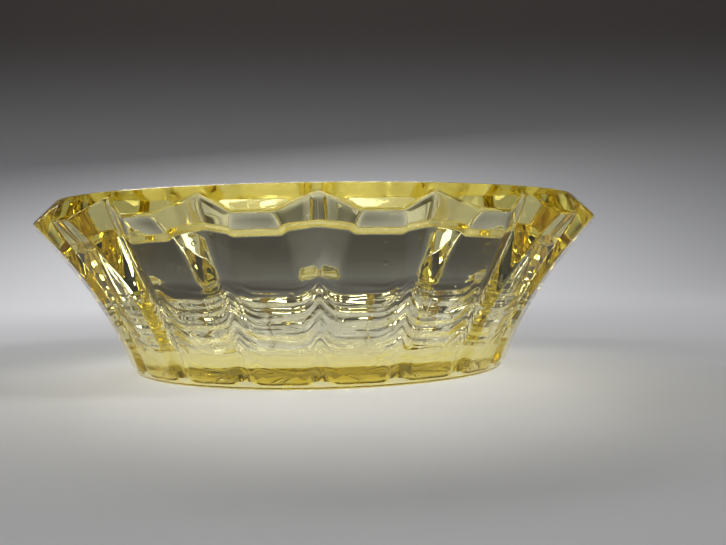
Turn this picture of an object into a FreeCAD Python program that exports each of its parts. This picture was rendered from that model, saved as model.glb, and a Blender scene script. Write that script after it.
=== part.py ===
import FreeCAD, Part
import math
import os

# A pressed-glass dish: a thick flared bowl whose outside has flat-fronted lobes
# with V-shaped grooves between them, a bevelled rim, a small ledge inside the
# mouth, a smooth round inside and a plain round foot. It is one piece of glass.
# Millimetres. +Z is up along the dish's own axis, and the origin is the centre
# of the face that it stands on. A groove between two lobes faces -Y.

os.makedirs("parts", exist_ok=True)

# Outside: lobes round a flared wall
LOBES = 18                # lobes round the dish
DISH_RADIUS = 80.0        # how far out a lobe's flat front is, at the rim's outer edge
RIM_EDGE_Z = 41.7         # height of that edge at the middle of a lobe
FOOT_RADIUS = 53.3        # plain round foot
FOOT_BAND = 2.0           # height of the plain band round the foot
FOOT_ROUNDING = 0.9       # soft lower edge of the foot
WALL_LEAN = 0.336         # outward lean of the wall where it leaves the foot
WALL_SECTIONS = 10        # sections that the wall is lofted through
GROOVE_DEPTH_FOOT = 1.8   # how deep a groove lies in the lobes, at the foot
GROOVE_DEPTH_RIM = 6.3    # the same at the rim's outer edge
FRONT_SHARE_FOOT = 0.64   # part of a lobe's width that its flat front takes, at the foot
FRONT_SHARE_RIM = 0.31    # the same at the rim's outer edge
GROOVE_GROWTH = 4         # grooves grow with this power of the height, so mostly near the rim

# Rim: a 45-degree bevel outside, a narrow flat top and a steeper bevel inside
DISH_HEIGHT = 48.0
TOP_INNER_RADIUS = 71.2   # inner corner of the flat top
TOP_ROUNDING = 0.8        # softness of the flat top's two corners

# Inside: a ledge under the inner bevel, a curved wall, a flat floor
LEDGE_OUTER_RADIUS = 66.2
LEDGE_OUTER_Z = 41.0
LEDGE_INNER_RADIUS = 62.5
LEDGE_INNER_Z = 40.6
LEDGE_ROUNDING = 0.8
WALL_TURN_RADIUS = 59.3   # the inside wall bends round this corner in one long arc
WALL_TURN_Z = 24.3
WALL_ROUNDING = 105.0
HEEL_RADIUS = 51.8        # rounded heel between the wall and the floor's rise
HEEL_Z = 9.5
HEEL_ROUNDING = 4.0
FLOOR_RADIUS = 44.0       # flat part of the floor
FLOOR_THICKNESS = 6.5
FLOOR_ROUNDING = 5.0

UP = FreeCAD.Vector(0, 0, 1)
CENTRE = FreeCAD.Vector(0, 0, 0)

# The wall curls outward as it rises, and reaches the dish's radius at the rim.
WALL_CURL = (DISH_RADIUS - FOOT_RADIUS - WALL_LEAN * RIM_EDGE_Z) / RIM_EDGE_Z ** 2
HALF_LOBE = math.pi / LOBES
TOP_OUTER_RADIUS = DISH_RADIUS - (DISH_HEIGHT - RIM_EDGE_Z)
TOP_MIDDLE_RADIUS = (TOP_OUTER_RADIUS + TOP_INNER_RADIUS) / 2
CLEARANCE = 4.0           # how far the cutting shapes reach past the glass


def lobe_radius(z):
    return FOOT_RADIUS + WALL_LEAN * z + WALL_CURL * z ** 2


def grown(at_foot, at_rim, z):
    rise = (z - FOOT_BAND) / (RIM_EDGE_Z - FOOT_BAND)
    return at_foot + (at_rim - at_foot) * rise ** GROOVE_GROWTH


def polar(radius, angle, z):
    # Angles start at -Y, so that angle zero is the middle of the front groove.
    return FreeCAD.Vector(radius * math.sin(angle), -radius * math.cos(angle), z)


def lobed_wire(z):
    # Each lobe is a flat front, and two straight flanks make each groove.
    half_front = HALF_LOBE * grown(FRONT_SHARE_FOOT, FRONT_SHARE_RIM, z)
    corner = lobe_radius(z) / math.cos(half_front)
    groove = corner - grown(GROOVE_DEPTH_FOOT, GROOVE_DEPTH_RIM, z)
    points = []
    for n in range(LOBES):
        middle = (2 * n + 1) * HALF_LOBE
        points.append(polar(groove, middle - HALF_LOBE, z))
        points.append(polar(corner, middle - half_front, z))
        points.append(polar(corner, middle + half_front, z))
    return Part.makePolygon(points + points[:1])


def rounded(corners):
    # Straight edges from corner to corner. Each corner is (radius, z, rounding).
    edges = []
    here = FreeCAD.Vector(corners[0][0], 0, corners[0][1])
    for before, corner, after in zip(corners, corners[1:], corners[2:]):
        point = FreeCAD.Vector(corner[0], 0, corner[1])
        back = (FreeCAD.Vector(before[0], 0, before[1]) - point).normalize()
        on = (FreeCAD.Vector(after[0], 0, after[1]) - point).normalize()
        half = back.getAngle(on) / 2
        start = point + back * (corner[2] / math.tan(half))
        end = point + on * (corner[2] / math.tan(half))
        edges.append(Part.makeLine(here, start))
        here = start
        if corner[2] > 0:
            inward = (back + on).normalize()
            middle = point + inward * (corner[2] / math.sin(half) - corner[2])
            edges.append(Part.Arc(start, middle, end).toShape())
            here = end
    edges.append(Part.makeLine(here, FreeCAD.Vector(corners[-1][0], 0, corners[-1][1])))
    return edges


def turned(corners):
    # Turns an outline in the XZ plane round the dish's axis.
    return Part.Face(Part.Wire(rounded(corners))).revolve(CENTRE, UP, 360)


# Lobed wall, still as wide at the top as it would grow, to be cut to the rim's shape
section_step = (DISH_HEIGHT - FOOT_BAND) / (WALL_SECTIONS - 1)
sections = [lobed_wire(FOOT_BAND + n * section_step) for n in range(WALL_SECTIONS)]
lobed_body = Part.makeLoft(sections, True, False)

# Foot: a plain round band with a softened lower edge
foot_body = Part.makeCylinder(FOOT_RADIUS, FOOT_BAND)
foot_edge = [e for e in foot_body.Edges if e.BoundBox.ZMax < FOOT_BAND / 2]
foot_body = foot_body.makeFillet(FOOT_ROUNDING, foot_edge)
outside = lobed_body.fuse(foot_body)

# Rim: everything under the outer bevel and the flat top
outside = outside.common(turned([
    (0, 0, 0),
    (DISH_RADIUS + CLEARANCE, 0, 0),
    (DISH_RADIUS + CLEARANCE, RIM_EDGE_Z - CLEARANCE, 0),
    (TOP_OUTER_RADIUS, DISH_HEIGHT, TOP_ROUNDING),
    (0, DISH_HEIGHT, 0),
    (0, 0, 0),
]))

# Inside: inner bevel, ledge, curved wall, heel and floor
above = DISH_HEIGHT + CLEARANCE
cavity = turned([
    (0, FLOOR_THICKNESS, 0),
    (FLOOR_RADIUS, FLOOR_THICKNESS, FLOOR_ROUNDING),
    (HEEL_RADIUS, HEEL_Z, HEEL_ROUNDING),
    (WALL_TURN_RADIUS, WALL_TURN_Z, WALL_ROUNDING),
    (LEDGE_INNER_RADIUS, LEDGE_INNER_Z, LEDGE_ROUNDING),
    (LEDGE_OUTER_RADIUS, LEDGE_OUTER_Z, LEDGE_ROUNDING),
    (TOP_INNER_RADIUS, DISH_HEIGHT, TOP_ROUNDING),
    (TOP_MIDDLE_RADIUS, DISH_HEIGHT, 0),
    (TOP_MIDDLE_RADIUS, above, 0),
    (0, above, 0),
    (0, FLOOR_THICKNESS, 0),
])
dish = outside.cut(cavity).removeSplitter()
dish.exportStep("parts/glass_dish.step")
print("glass_dish", len(dish.Solids), dish.isValid(), round(dish.Volume), dish.BoundBox)
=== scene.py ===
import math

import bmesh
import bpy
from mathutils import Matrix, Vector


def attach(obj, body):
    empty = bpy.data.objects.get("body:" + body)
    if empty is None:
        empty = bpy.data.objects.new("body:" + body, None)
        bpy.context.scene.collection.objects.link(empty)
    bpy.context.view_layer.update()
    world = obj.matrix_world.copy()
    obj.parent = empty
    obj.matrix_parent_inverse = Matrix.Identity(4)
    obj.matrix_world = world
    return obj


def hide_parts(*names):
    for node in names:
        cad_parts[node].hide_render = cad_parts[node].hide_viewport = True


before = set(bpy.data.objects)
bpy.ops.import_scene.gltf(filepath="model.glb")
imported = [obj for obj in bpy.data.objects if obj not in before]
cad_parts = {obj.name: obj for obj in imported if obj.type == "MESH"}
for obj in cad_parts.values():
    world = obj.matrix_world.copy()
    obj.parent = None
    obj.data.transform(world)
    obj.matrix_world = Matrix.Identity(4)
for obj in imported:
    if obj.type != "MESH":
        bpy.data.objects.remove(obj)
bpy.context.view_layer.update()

# %% [markdown]
# # A pressed-glass dish
# The real object is one heavy piece of clear yellow glass. It was pressed in a
# mould, so its outside carries the mould's flat-fronted lobes and V grooves, its
# inside is the shape of the plunger, and its edges were softened by flame. Clear
# glass shows no skin colour. What we see is light that was bent, mirrored and
# tinted on its way through, so the shape inside and out has to be right.

MM = 0.001


def nothing_selected():
    """Deselects all objects, because an operator acts on whatever is selected."""
    if bpy.context.object and bpy.context.object.mode != "OBJECT":
        bpy.ops.object.mode_set(mode="OBJECT")
    bpy.ops.object.select_all(action="DESELECT")


def make_active(piece):
    nothing_selected()
    piece.select_set(True)
    bpy.context.view_layer.objects.active = piece


# %% [markdown]
# ## The sizes of the dish
# A groove between two lobes faces the front, and every lobe is alike. One lobe
# is therefore enough to model, as long as its two edges meet its neighbours.
# The wall leans out from the foot and curls further out as it rises. The grooves
# hardly change in the lower half, then open up quickly below the rim. The wall's
# shape is given as formulas of the height, because a formula can be asked for a
# point wherever the mesh needs one, and a table of points can't.

# %% Sizes in millimetres
LOBES = 18
DISH_RADIUS = 80.0
RIM_EDGE_Z = 41.7
FOOT_RADIUS = 53.3
FOOT_BAND = 2.0
FOOT_ROUNDING = 0.9
WALL_LEAN = 0.336
GROOVE_DEPTH = (1.8, 6.3)       # at the foot, and at the rim's outer edge
FRONT_SHARE = (0.64, 0.31)      # part of a lobe's width that its flat front takes
GROOVE_GROWTH = 4
DISH_HEIGHT = 48.0
TOP_OUTER_RADIUS = DISH_RADIUS - (DISH_HEIGHT - RIM_EDGE_Z)
FLOOR_THICKNESS = 6.5
# Each corner of the outline is a radius, a height and a rounding.
TOP_CORNERS = [(TOP_OUTER_RADIUS, DISH_HEIGHT, 0.8), (71.2, DISH_HEIGHT, 0.8)]
LEDGE_CORNERS = [(66.2, 41.0, 0.8), (62.5, 40.6, 0.8)]
INSIDE_CORNERS = [(59.3, 24.3, 105.0)]
FLOOR_CORNERS = [(51.8, 9.5, 4.0), (44.0, FLOOR_THICKNESS, 5.0)]

WALL_CURL = (DISH_RADIUS - FOOT_RADIUS - WALL_LEAN * RIM_EDGE_Z) / RIM_EDGE_Z ** 2
HALF_LOBE = math.pi / LOBES
FRONT_STEPS = 3                 # columns of faces from a lobe's middle to its edge
FLANK_STEPS = 4                 # and from there to the groove
HALF_COLUMNS = FRONT_STEPS + FLANK_STEPS
WALL_ROWS = 22                  # rows of faces up the lobed wall


def lobe_radius(z):
    """How far out the flat front of a lobe is at height z."""
    return FOOT_RADIUS + WALL_LEAN * z + WALL_CURL * z ** 2


def grown(foot_and_rim, z):
    rise = (z - FOOT_BAND) / (RIM_EDGE_Z - FOOT_BAND)
    return foot_and_rim[0] + (foot_and_rim[1] - foot_and_rim[0]) * rise ** GROOVE_GROWTH


def wall_point(column, z):
    """Radius and angle of the lobed wall, with the angle from the lobe's middle."""
    half_front = HALF_LOBE * grown(FRONT_SHARE, z)
    corner = lobe_radius(z) / math.cos(half_front)
    steps = abs(column)
    if steps <= FRONT_STEPS:
        angle = half_front * steps / FRONT_STEPS
        radius = lobe_radius(z) / math.cos(angle)
    else:
        groove = corner - grown(GROOVE_DEPTH, z)
        point = Vector((corner * math.cos(half_front), corner * math.sin(half_front))).lerp(
            Vector((groove * math.cos(HALF_LOBE), groove * math.sin(HALF_LOBE))),
            (steps - FRONT_STEPS) / FLANK_STEPS)
        radius, angle = point.length, math.atan2(point.y, point.x)
    return radius, math.copysign(angle, column)


def wall_top(column):
    """Height where the wall meets the bevel, which falls as fast as it widens."""
    low, high = RIM_EDGE_Z - 1.0, DISH_HEIGHT
    for _ in range(40):         # halves the gap until nothing is left of it
        z = (low + high) / 2
        if wall_point(column, z)[0] + z < DISH_RADIUS + RIM_EDGE_Z:
            low = z
        else:
            high = z
    return z


for z in (FOOT_BAND, DISH_HEIGHT / 2, RIM_EDGE_Z):
    print("at height", z, "front", round(wall_point(0, z)[0], 2),
          "groove", round(wall_point(HALF_COLUMNS, z)[0], 2))
print("the bevel's lower edge is at height", round(wall_top(0), 2), "on a lobe and",
      round(wall_top(HALF_COLUMNS), 2), "in a groove")


# %% [markdown]
# ## Turning one lobe's wedge
# A turned shape starts as an outline from the axis, round the glass and back to
# the axis. The corners of this one are rounded with small arcs. A screw modifier
# could turn it all the way round, but then each groove would have to be cut
# afterwards, 18 times. We draw the outline by extruding a vertex from point to
# point and spin it through the width of one lobe only. The wall is still plain
# at this stage.

# %% The outline in the XZ plane
def straight(start, end, steps):
    return [start.lerp(end, n / steps) for n in range(1, steps + 1)]


def rounded(corners, longest=3.0, bend=math.radians(10)):
    """Points along straight lines from corner to corner, with an arc at each corner."""
    points = [Vector(corners[0][:2])]
    for before, corner, after in zip(corners, corners[1:], corners[2:]):
        tip = Vector(corner[:2])
        back = (Vector(before[:2]) - tip).normalized()
        on = (Vector(after[:2]) - tip).normalized()
        half = back.angle(on) / 2
        start = tip + back * corner[2] / math.tan(half)
        points += straight(points[-1], start, math.ceil((start - points[-1]).length / longest))
        centre = tip + (back + on).normalized() * corner[2] / math.sin(half)
        sweep = (start - centre).angle_signed(tip + on * corner[2] / math.tan(half) - centre)
        steps = max(3, math.ceil(abs(sweep) / bend))
        for n in range(1, steps + 1):
            points.append(centre + Matrix.Rotation(-sweep * n / steps, 2) @ (start - centre))
    last = Vector(corners[-1][:2])
    return points + straight(points[-1], last, math.ceil((last - points[-1]).length / longest))


outline = rounded([(0, 0), (FOOT_RADIUS, 0, FOOT_ROUNDING), (FOOT_RADIUS, FOOT_BAND)])
foot_row = len(outline) - 1
for n in range(WALL_ROWS + 1):
    z = FOOT_BAND + (RIM_EDGE_Z - FOOT_BAND) * n / WALL_ROWS
    outline.append(Vector((lobe_radius(z), z)))
edge_row = len(outline) - 1
outline += rounded([(DISH_RADIUS, RIM_EDGE_Z)] + TOP_CORNERS + LEDGE_CORNERS
                   + INSIDE_CORNERS + FLOOR_CORNERS + [(0, FLOOR_THICKNESS)])[1:]
print("outline points:", len(outline), " highest:", round(max(p.y for p in outline), 3))

# %% Draw the outline and spin the wedge
nothing_selected()
bpy.ops.mesh.primitive_plane_add(size=1 * MM)
dish = bpy.context.object
dish.name = "glass_dish_body"
bpy.ops.object.mode_set(mode="EDIT")
bpy.ops.mesh.merge(type="CENTER")
for here, there in zip(outline, outline[1:]):
    step = (there - here) * MM
    bpy.ops.mesh.extrude_region_move(TRANSFORM_OT_translate={"value": (step.x, 0, step.y)})
bpy.ops.mesh.select_all(action="SELECT")
# With no window, a positive turn goes clockwise, and so does the spin.
bpy.ops.transform.rotate(value=-HALF_LOBE, orient_axis="Z", center_override=(0, 0, 0))
bpy.ops.mesh.spin(steps=2 * HALF_COLUMNS, angle=2 * HALF_LOBE, center=(0, 0, 0), axis=(0, 0, 1))
bpy.ops.object.mode_set(mode="OBJECT")
angles = [math.degrees(math.atan2(v.co.y, v.co.x)) for v in dish.data.vertices if v.co.x > MM]
print("wedge from", round(min(angles), 3), "to", round(max(angles), 3), "degrees,",
      len(dish.data.vertices), "vertices")


# %% [markdown]
# ## Pressing the grooves
# The turned wedge has the radius of the lobe's front everywhere. Grooves could be
# cut from it with a boolean, which leaves long thin faces that shade badly in
# clear glass. Instead each vertex of the wall is moved to its place on the flat
# front or on a flank, so that the lobe's two edges and the groove each run along
# one column. The bevel's vertices stay on its cone, between the scalloped lower
# edge and the round upper one.

# %% Find every vertex of the wall and the bevel by its column and row
SAME_PLACE = 0.02               # mm between a vertex and the outline point it came from
bpy.ops.object.mode_set(mode="EDIT")
bpy.ops.mesh.select_mode(type="VERT")
skin = bmesh.from_edit_mesh(dish.data)
wall_rows = list(range(foot_row + 1, edge_row + 1))
bevel_rows = [row for row in range(edge_row + 1, len(outline))
              if abs(outline[row].x + outline[row].y - DISH_RADIUS - RIM_EDGE_Z) < 1e-3][:-1]
grid = {}
for v in skin.verts:
    column = round(math.atan2(v.co.y, v.co.x) / HALF_LOBE * HALF_COLUMNS)
    on_outline = Vector((math.hypot(v.co.x, v.co.y), v.co.z)) / MM
    for row in wall_rows + bevel_rows:
        if (outline[row] - on_outline).length < SAME_PLACE:
            grid[column, row] = v
print("columns found:", len({c for c, _ in grid}), " rows found:", len({r for _, r in grid}))

# %% Move each of them to its place
for v in skin.verts:
    v.select_set(False)
for column in range(-HALF_COLUMNS, HALF_COLUMNS + 1):
    top = wall_top(column)
    edge_radius, edge_angle = wall_point(column, top)
    for row in wall_rows + bevel_rows:
        if row <= edge_row:
            z = FOOT_BAND + (top - FOOT_BAND) * (row - wall_rows[0]) / WALL_ROWS
            radius, angle = wall_point(column, z)
        else:
            up = (DISH_RADIUS - outline[row].x) / (DISH_RADIUS - TOP_OUTER_RADIUS)
            radius = edge_radius + (TOP_OUTER_RADIUS - edge_radius) * up
            angle = edge_angle + (HALF_LOBE * column / HALF_COLUMNS - edge_angle) * up
            z = DISH_RADIUS + RIM_EDGE_Z - radius
        goal = Vector((radius * math.cos(angle), radius * math.sin(angle), z)) * MM
        v = grid[column, row]
        v.select_set(True)
        bmesh.update_edit_mesh(dish.data)
        bpy.ops.transform.translate(value=goal - v.co)
        v.select_set(False)
deepest = grid[HALF_COLUMNS, edge_row].co / MM
print("a groove meets the bevel at radius", round(math.hypot(deepest.x, deepest.y), 2),
      "and height", round(deepest.z, 2))

# %% Copy the wedge round the axis and close the glass
bpy.ops.mesh.select_all(action="SELECT")
bpy.ops.transform.rotate(value=math.pi / 2 - HALF_LOBE, orient_axis="Z",
                         center_override=(0, 0, 0))
bpy.ops.mesh.spin(steps=LOBES - 1, dupli=True, angle=2 * HALF_LOBE * (LOBES - 1),
                  center=(0, 0, 0), axis=(0, 0, 1))
bpy.ops.mesh.select_all(action="SELECT")
bpy.ops.mesh.remove_doubles(threshold=0.005 * MM)
bpy.ops.mesh.normals_make_consistent(inside=False)
skin = bmesh.from_edit_mesh(dish.data)
print("open edges:", sum(not e.is_manifold for e in skin.edges),
      " volume in cubic mm:", round(skin.calc_volume() / MM ** 3), " faces:", len(skin.faces))

# %% [markdown]
# ## Fire-polished edges
# A flame softens the pressed edges, but the flats between them stay flat. A
# subdivision surface would round everything, flats too. We round only the long
# edges of the lobes, the bottoms of the grooves and the bevel's scalloped edge,
# and then let the big faces decide the shading directions.

# %% Round the edges between the flats
EDGE_ROUNDING = 0.8             # mm from an edge to where its rounding starts
SHARP = math.radians(19)        # an edge that bends more than this is rounded
FLATS_LEAD = 60                 # how far big faces outweigh small ones in the shading
bpy.ops.mesh.select_mode(type="EDGE")
bpy.ops.mesh.select_all(action="DESELECT")
bpy.ops.mesh.edges_select_sharp(sharpness=SHARP)
low_edges = 0
for e in skin.edges:
    if e.select and min(v.co.z for v in e.verts) < (FOOT_BAND + 0.1) * MM:
        low_edges += 1
        e.select_set(False)
chosen = sum(e.select for e in skin.edges)
bmesh.update_edit_mesh(dish.data)
bpy.ops.mesh.bevel(offset=EDGE_ROUNDING * MM, segments=3, profile=0.5, clamp_overlap=False)
bpy.ops.object.mode_set(mode="OBJECT")
print("edges rounded:", chosen, " left at the foot:", low_edges)
bpy.ops.object.shade_smooth()
even = dish.modifiers.new("flats_stay_flat", "WEIGHTED_NORMAL")
even.mode = "FACE_AREA"
even.weight = FLATS_LEAD
make_active(dish)
bpy.ops.object.modifier_apply(modifier="flats_stay_flat")
print("triangles:", sum(len(p.vertices) - 2 for p in dish.data.polygons))

# %% [markdown]
# ## Clear yellow glass
# The colour could be painted on the skin, but then thin and thick glass would
# look alike. It sits inside, so it is given as absorption in the volume: a ray
# that crosses a thin wall stays almost clear, and one that runs the length of the
# floor or round the rim comes out olive yellow. The skin is smooth, but not
# perfect: the plunger left faint ripples round the inside, the mould left a slow
# waviness outside, and a few seeds (tiny bubbles) lie just under the skin. They
# are far too shallow to model, so they are bumps in the shading. A small class
# wraps a socket, so that the patterns read as plain sums.


# %% A socket that can be added and multiplied
class Value:
    """One output socket of a shader node, with the usual signs of arithmetic."""
    tree = None

    def __init__(self, socket):
        self.socket = socket

    @classmethod
    def node(cls, kind, settings=None, output=0, **inputs):
        made = cls.tree.nodes.new(kind)
        for name, setting in (settings or {}).items():
            setattr(made, name, setting)
        for name, given in inputs.items():
            socket = made.inputs[name.replace("_", " ")]
            if isinstance(given, Value):
                cls.tree.links.new(given.socket, socket)
            else:
                socket.default_value = given
        return cls(made.outputs[output])

    @classmethod
    def maths(cls, operation, *numbers):
        made = cls.tree.nodes.new("ShaderNodeMath")
        made.operation = operation
        for socket, given in zip(made.inputs, numbers):
            if isinstance(given, Value):
                cls.tree.links.new(given.socket, socket)
            else:
                socket.default_value = given
        return cls(made.outputs[0])

    def __add__(self, other): return self.maths("ADD", self, other)
    def __radd__(self, other): return self.maths("ADD", other, self)
    def __sub__(self, other): return self.maths("SUBTRACT", self, other)
    def __rsub__(self, other): return self.maths("SUBTRACT", other, self)
    def __mul__(self, other): return self.maths("MULTIPLY", self, other)
    def __rmul__(self, other): return self.maths("MULTIPLY", other, self)

    def step_up(self, low, high):
        """0 below low, 1 above high, and smooth between them."""
        return self.node("ShaderNodeMapRange", {"interpolation_type": "SMOOTHSTEP"},
                         Value=self, From_Min=low, From_Max=high)


# %% Start the glass
glass = bpy.data.materials.new("uranium_glass")
glass.use_nodes = True
glass.node_tree.nodes.clear()
Value.tree = glass.node_tree

place = Value.node("ShaderNodeTexCoord", output="Object")
x, y, z = (Value.node("ShaderNodeSeparateXYZ", output=axis, Vector=place) for axis in "XYZ")
radius = Value.maths("SQRT", x * x + y * y)
turn = Value.maths("ARCTAN2", y, x)

# The inside is everything nearer the axis than a line up the middle of the wall,
# and above the underside of the floor. All of these are in metres.
LINE_RADIUS, LINE_Z, LINE_LEAN = 0.053, 0.0095, 0.49
LINE_SOFTNESS = 0.001
IN_THE_FLOOR, ON_THE_FLOOR = 0.006, 0.0066
RIPPLES_UP_TO, NO_RIPPLES_FROM = 0.023, 0.029
line_radius = LINE_RADIUS + (z - LINE_Z) * LINE_LEAN
inside = (line_radius - radius).step_up(0.0, LINE_SOFTNESS) * z.step_up(IN_THE_FLOOR, ON_THE_FLOOR)
low_down = 1 - z.step_up(RIPPLES_UP_TO, NO_RIPPLES_FROM)
print("nodes that find the inside:", len(glass.node_tree.nodes))

# %% Ripples, waviness and seeds
RIPPLE, WAVE, SEED = 0.00140, 0.00044, 0.00004    # heights in metres
# Ripples follow the turned inside: quick up the wall, slow round it. They rise
# behind each groove, so that the stacked bright lines in the wall step with the lobes.
groove = 0.5 - Value.maths("COSINE", turn * LOBES) * 0.5
hump = groove * groove
round_the_wall = Value.node("ShaderNodeCombineXYZ", X=x * 30.0, Y=y * 30.0,
                            Z=z * 460.0 - hump * hump * 1.6)
ripples = Value.node("ShaderNodeTexNoise", {"noise_dimensions": "3D"}, output="Fac",
                     Vector=round_the_wall, Scale=0.85, Detail=1.0, Roughness=0.5)
waviness = Value.node("ShaderNodeTexNoise", {"noise_dimensions": "3D"}, output="Fac",
                      Vector=place, Scale=55.0, Detail=1.0, Roughness=0.4)
cell = Value.node("ShaderNodeTexVoronoi", {"feature": "F1"}, output="Distance",
                  Vector=place, Scale=120.0)
seeds = 1 - cell.step_up(0.04, 0.09)

relief = ripples * inside * low_down * RIPPLE + waviness * WAVE + seeds * SEED
bumps = Value.node("ShaderNodeBump", Height=relief, Strength=1.0, Distance=1.0)
print("nodes with the relief:", len(glass.node_tree.nodes))

# %% A clear skin over tinted glass
skin_shader = Value.node("ShaderNodeBsdfPrincipled", Base_Color=(1, 1, 1, 1), Roughness=0.0,
                         IOR=1.52, Transmission_Weight=1.0, Normal=bumps)
tint = Value.node("ShaderNodeVolumeAbsorption", Color=(0.925, 0.85, 0.04, 1), Density=44.0)
ends = glass.node_tree.nodes.new("ShaderNodeOutputMaterial")
glass.node_tree.links.new(skin_shader.socket, ends.inputs["Surface"])
glass.node_tree.links.new(tint.socket, ends.inputs["Volume"])
dish.data.materials.clear()
dish.data.materials.append(glass)

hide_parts("glass_dish")
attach(dish, "root")
print("glass nodes:", len(glass.node_tree.nodes))

# %% [markdown]
# ## Floor and backdrop
# A plain pale sheet lies under the dish and curves up behind it, as in a small
# studio, so that no horizon line cuts the glass. A plane is stretched, and its
# back edge is spun a quarter turn and drawn up. Higher up, the sheet's colour is
# painted darker, as painted shade of a dim room, because clear glass needs
# something dark behind it to show its edges.
# The foot presses into the floor by a hair, so that no thin layer of air is left
# under it to mirror the light back up.

# %% Stretch the floor and spin its back edge up
FLOOR_FRONT, FLOOR_BACK, CURVE, BACKDROP_TOP, HALF_WIDTH = -1.6, 0.35, 0.45, 2.2, 2.5
FLOOR_Z = 0.00002
nothing_selected()
bpy.ops.mesh.primitive_plane_add(size=2 * HALF_WIDTH, location=(0, 0, FLOOR_Z))
floor = bpy.context.object
floor.name = "studio_floor"
bpy.ops.object.mode_set(mode="EDIT")
bpy.ops.mesh.select_mode(type="VERT")
sheet = bmesh.from_edit_mesh(floor.data)
for side, goal in ((-1, FLOOR_FRONT), (1, FLOOR_BACK)):
    for v in sheet.verts:
        v.select_set(v.co.y * side > 0)
    bmesh.update_edit_mesh(floor.data)
    bpy.ops.transform.translate(value=(0, goal - side * HALF_WIDTH, 0))
bpy.ops.mesh.select_all(action="DESELECT")
for v in sheet.verts:
    v.select_set(abs(v.co.y - FLOOR_BACK) < 1e-4)
sheet.select_flush(True)
bmesh.update_edit_mesh(floor.data)
bpy.ops.mesh.spin(steps=24, angle=math.pi / 2, center=(0, FLOOR_BACK, CURVE + FLOOR_Z),
                  axis=(-1, 0, 0))
bpy.ops.mesh.extrude_region_move(TRANSFORM_OT_translate={"value": (0, 0, BACKDROP_TOP)})
bpy.ops.object.mode_set(mode="OBJECT")
bpy.ops.object.shade_smooth()
ys = [v.co.y for v in floor.data.vertices]
zs = [v.co.z for v in floor.data.vertices]
print("backdrop: y", round(min(ys), 2), "to", round(max(ys), 2),
      " z", round(min(zs), 2), "to", round(max(zs), 2))

# %% Paper painted darker with height, as painted shade
# The second, darker tone is painted shade: it stands in for the shade of a dim room above the pale
# paper.
PALE, PAINTED_SHADE = (0.62, 0.62, 0.63, 1), (0.12, 0.105, 0.095, 1)
PALE_UP_TO, PAINTED_SHADE_FROM = 0.03, 0.31     # heights in metres
COLOUR_A, COLOUR_B = 6, 7             # the Mix node's two colour sockets
paper = bpy.data.materials.new("paper_with_painted_shade")
paper.use_nodes = True
paper_shader = paper.node_tree.nodes["Principled BSDF"]
paper_shader.inputs["Roughness"].default_value = 0.9
Value.tree = paper.node_tree
height = Value.node("ShaderNodeSeparateXYZ", output="Z",
                    Vector=Value.node("ShaderNodeTexCoord", output="Object"))
# Mixes the painted shade into the paper's colour as the height grows.
shade = Value.node("ShaderNodeMix", {"data_type": "RGBA"}, output=2,
                   Factor=height.step_up(PALE_UP_TO, PAINTED_SHADE_FROM))
shade.socket.node.inputs[COLOUR_A].default_value = PALE
shade.socket.node.inputs[COLOUR_B].default_value = PAINTED_SHADE
paper.node_tree.links.new(shade.socket, paper_shader.inputs["Base Color"])
floor.data.materials.append(paper)
print("paper nodes:", len(paper.node_tree.nodes))

# %% [markdown]
# ## Light
# Clear glass is lit best from behind: a long low window light is mirrored and
# bent into bright lines, and a dim room leaves the rest dark enough to set them
# off. Two small softboxes at the sides pick out the lobes. Light also passes
# through the dish and gathers in a bright patch under and before it. A path
# tracer finds that patch only with very many samples, so a soft spot stands in
# for it. The spot casts no shadow, and no mirror or lens can show it. The plain
# view transform keeps the yellow as deep as the absorption makes it. A mirror
# turn inside the glass counts as a glossy bounce, and the thick rim takes many,
# so those are raised too. With the usual four, parts of the rim turn black.

# %% The room
world = bpy.data.worlds.new("room")
bpy.context.scene.world = world
world.use_nodes = True
bpy.context.scene.view_settings.view_transform = "Standard"
world.node_tree.nodes["Background"].inputs["Color"].default_value = (0.5, 0.52, 0.56, 1)
world.node_tree.nodes["Background"].inputs["Strength"].default_value = 0.21
cycles = bpy.context.scene.cycles
cycles.max_bounces = cycles.transmission_bounces = cycles.glossy_bounces = 48
print("bounces:", cycles.glossy_bounces)


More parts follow.
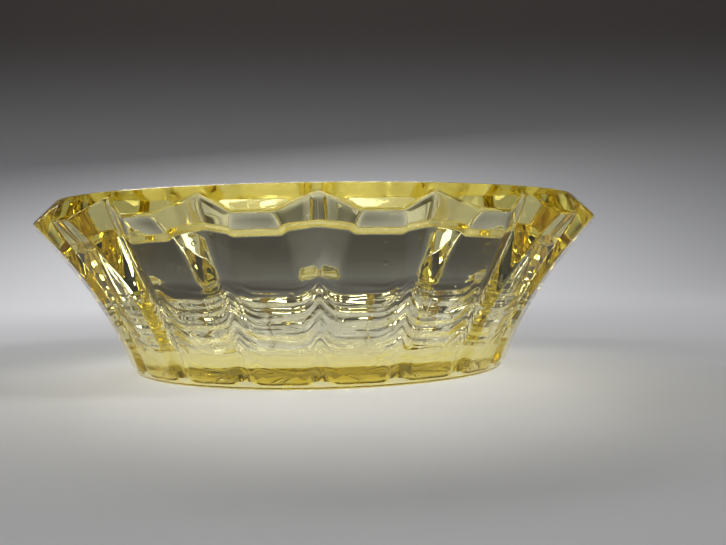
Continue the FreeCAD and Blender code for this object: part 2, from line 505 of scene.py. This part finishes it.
# %% Lamps
def hang(name, lamp, stand, target):
    """Puts a lamp on its stand and turns it towards its target."""
    holder = bpy.data.objects.new(name, lamp)
    bpy.context.scene.collection.objects.link(holder)
    holder.location = stand
    holder.rotation_euler = (Vector(target) - Vector(stand)).to_track_quat("-Z", "Y").to_euler()
    print(name, "hangs", round((Vector(target) - Vector(stand)).length, 2), "m from its target")
    return holder


def softbox(name, stand, width, height, power):
    lamp = bpy.data.lights.new(name, "AREA")
    lamp.shape = "RECTANGLE"
    lamp.size, lamp.size_y = width, height
    lamp.energy = power
    hang(name, lamp, stand, (0, 0, 0.02))


softbox("window", (-0.06, 0.53, 0.375), 0.42, 0.07, 2.2)
gathered = bpy.data.lights.new("gathered_light", "SPOT")
gathered.energy = 10.5
gathered.spot_size = math.radians(22)
gathered.spot_blend = 1.0
gathered.color = (1.0, 0.97, 0.88)
gathered.shadow_soft_size = 0.03
gathered.use_shadow = False
patch = hang("gathered_light", gathered, (0, 0.25, 0.45), (0, -0.035, 0))
patch.visible_glossy = patch.visible_transmission = False
softbox("left", (-0.70, 0.15, 0.35), 0.10, 0.60, 1.2)
softbox("right", (0.65, -0.35, 0.55), 0.15, 0.15, 2)

# %% [markdown]
# ## Camera
# The camera stands close to the dish, a little below its rim and almost level, so
# most of the dish is seen through its near wall. It could be aimed with a
# constraint, but a plain matrix is easier to read: place, then turn, tilt and
# lean.

# %% Place the camera
FRAME_WIDTH = 726
FOCAL = 900.0
DISTANCE = 268.0                # mm from the dish's axis
EYE_HEIGHT = 31.7               # mm
PITCH, ROLL, YAW = 1.0, 1.0, 2.8      # degrees
lens = bpy.data.cameras.new("camera")
lens.sensor_width = 36
lens.lens = FOCAL * 36 / FRAME_WIDTH
camera = bpy.data.objects.new("camera", lens)
bpy.context.scene.collection.objects.link(camera)
camera.matrix_world = (
    Matrix.Translation(Vector((0, -DISTANCE, EYE_HEIGHT)) * MM)
    @ Matrix.Rotation(math.radians(-YAW), 4, "Z")
    @ Matrix.Rotation(math.radians(90 - PITCH), 4, "X")
    @ Matrix.Rotation(math.radians(-ROLL), 4, "Z"))
lens.clip_start = 0.01
bpy.context.scene.camera = camera
print("camera at", [round(c / MM, 1) for c in camera.matrix_world.translation], "mm")
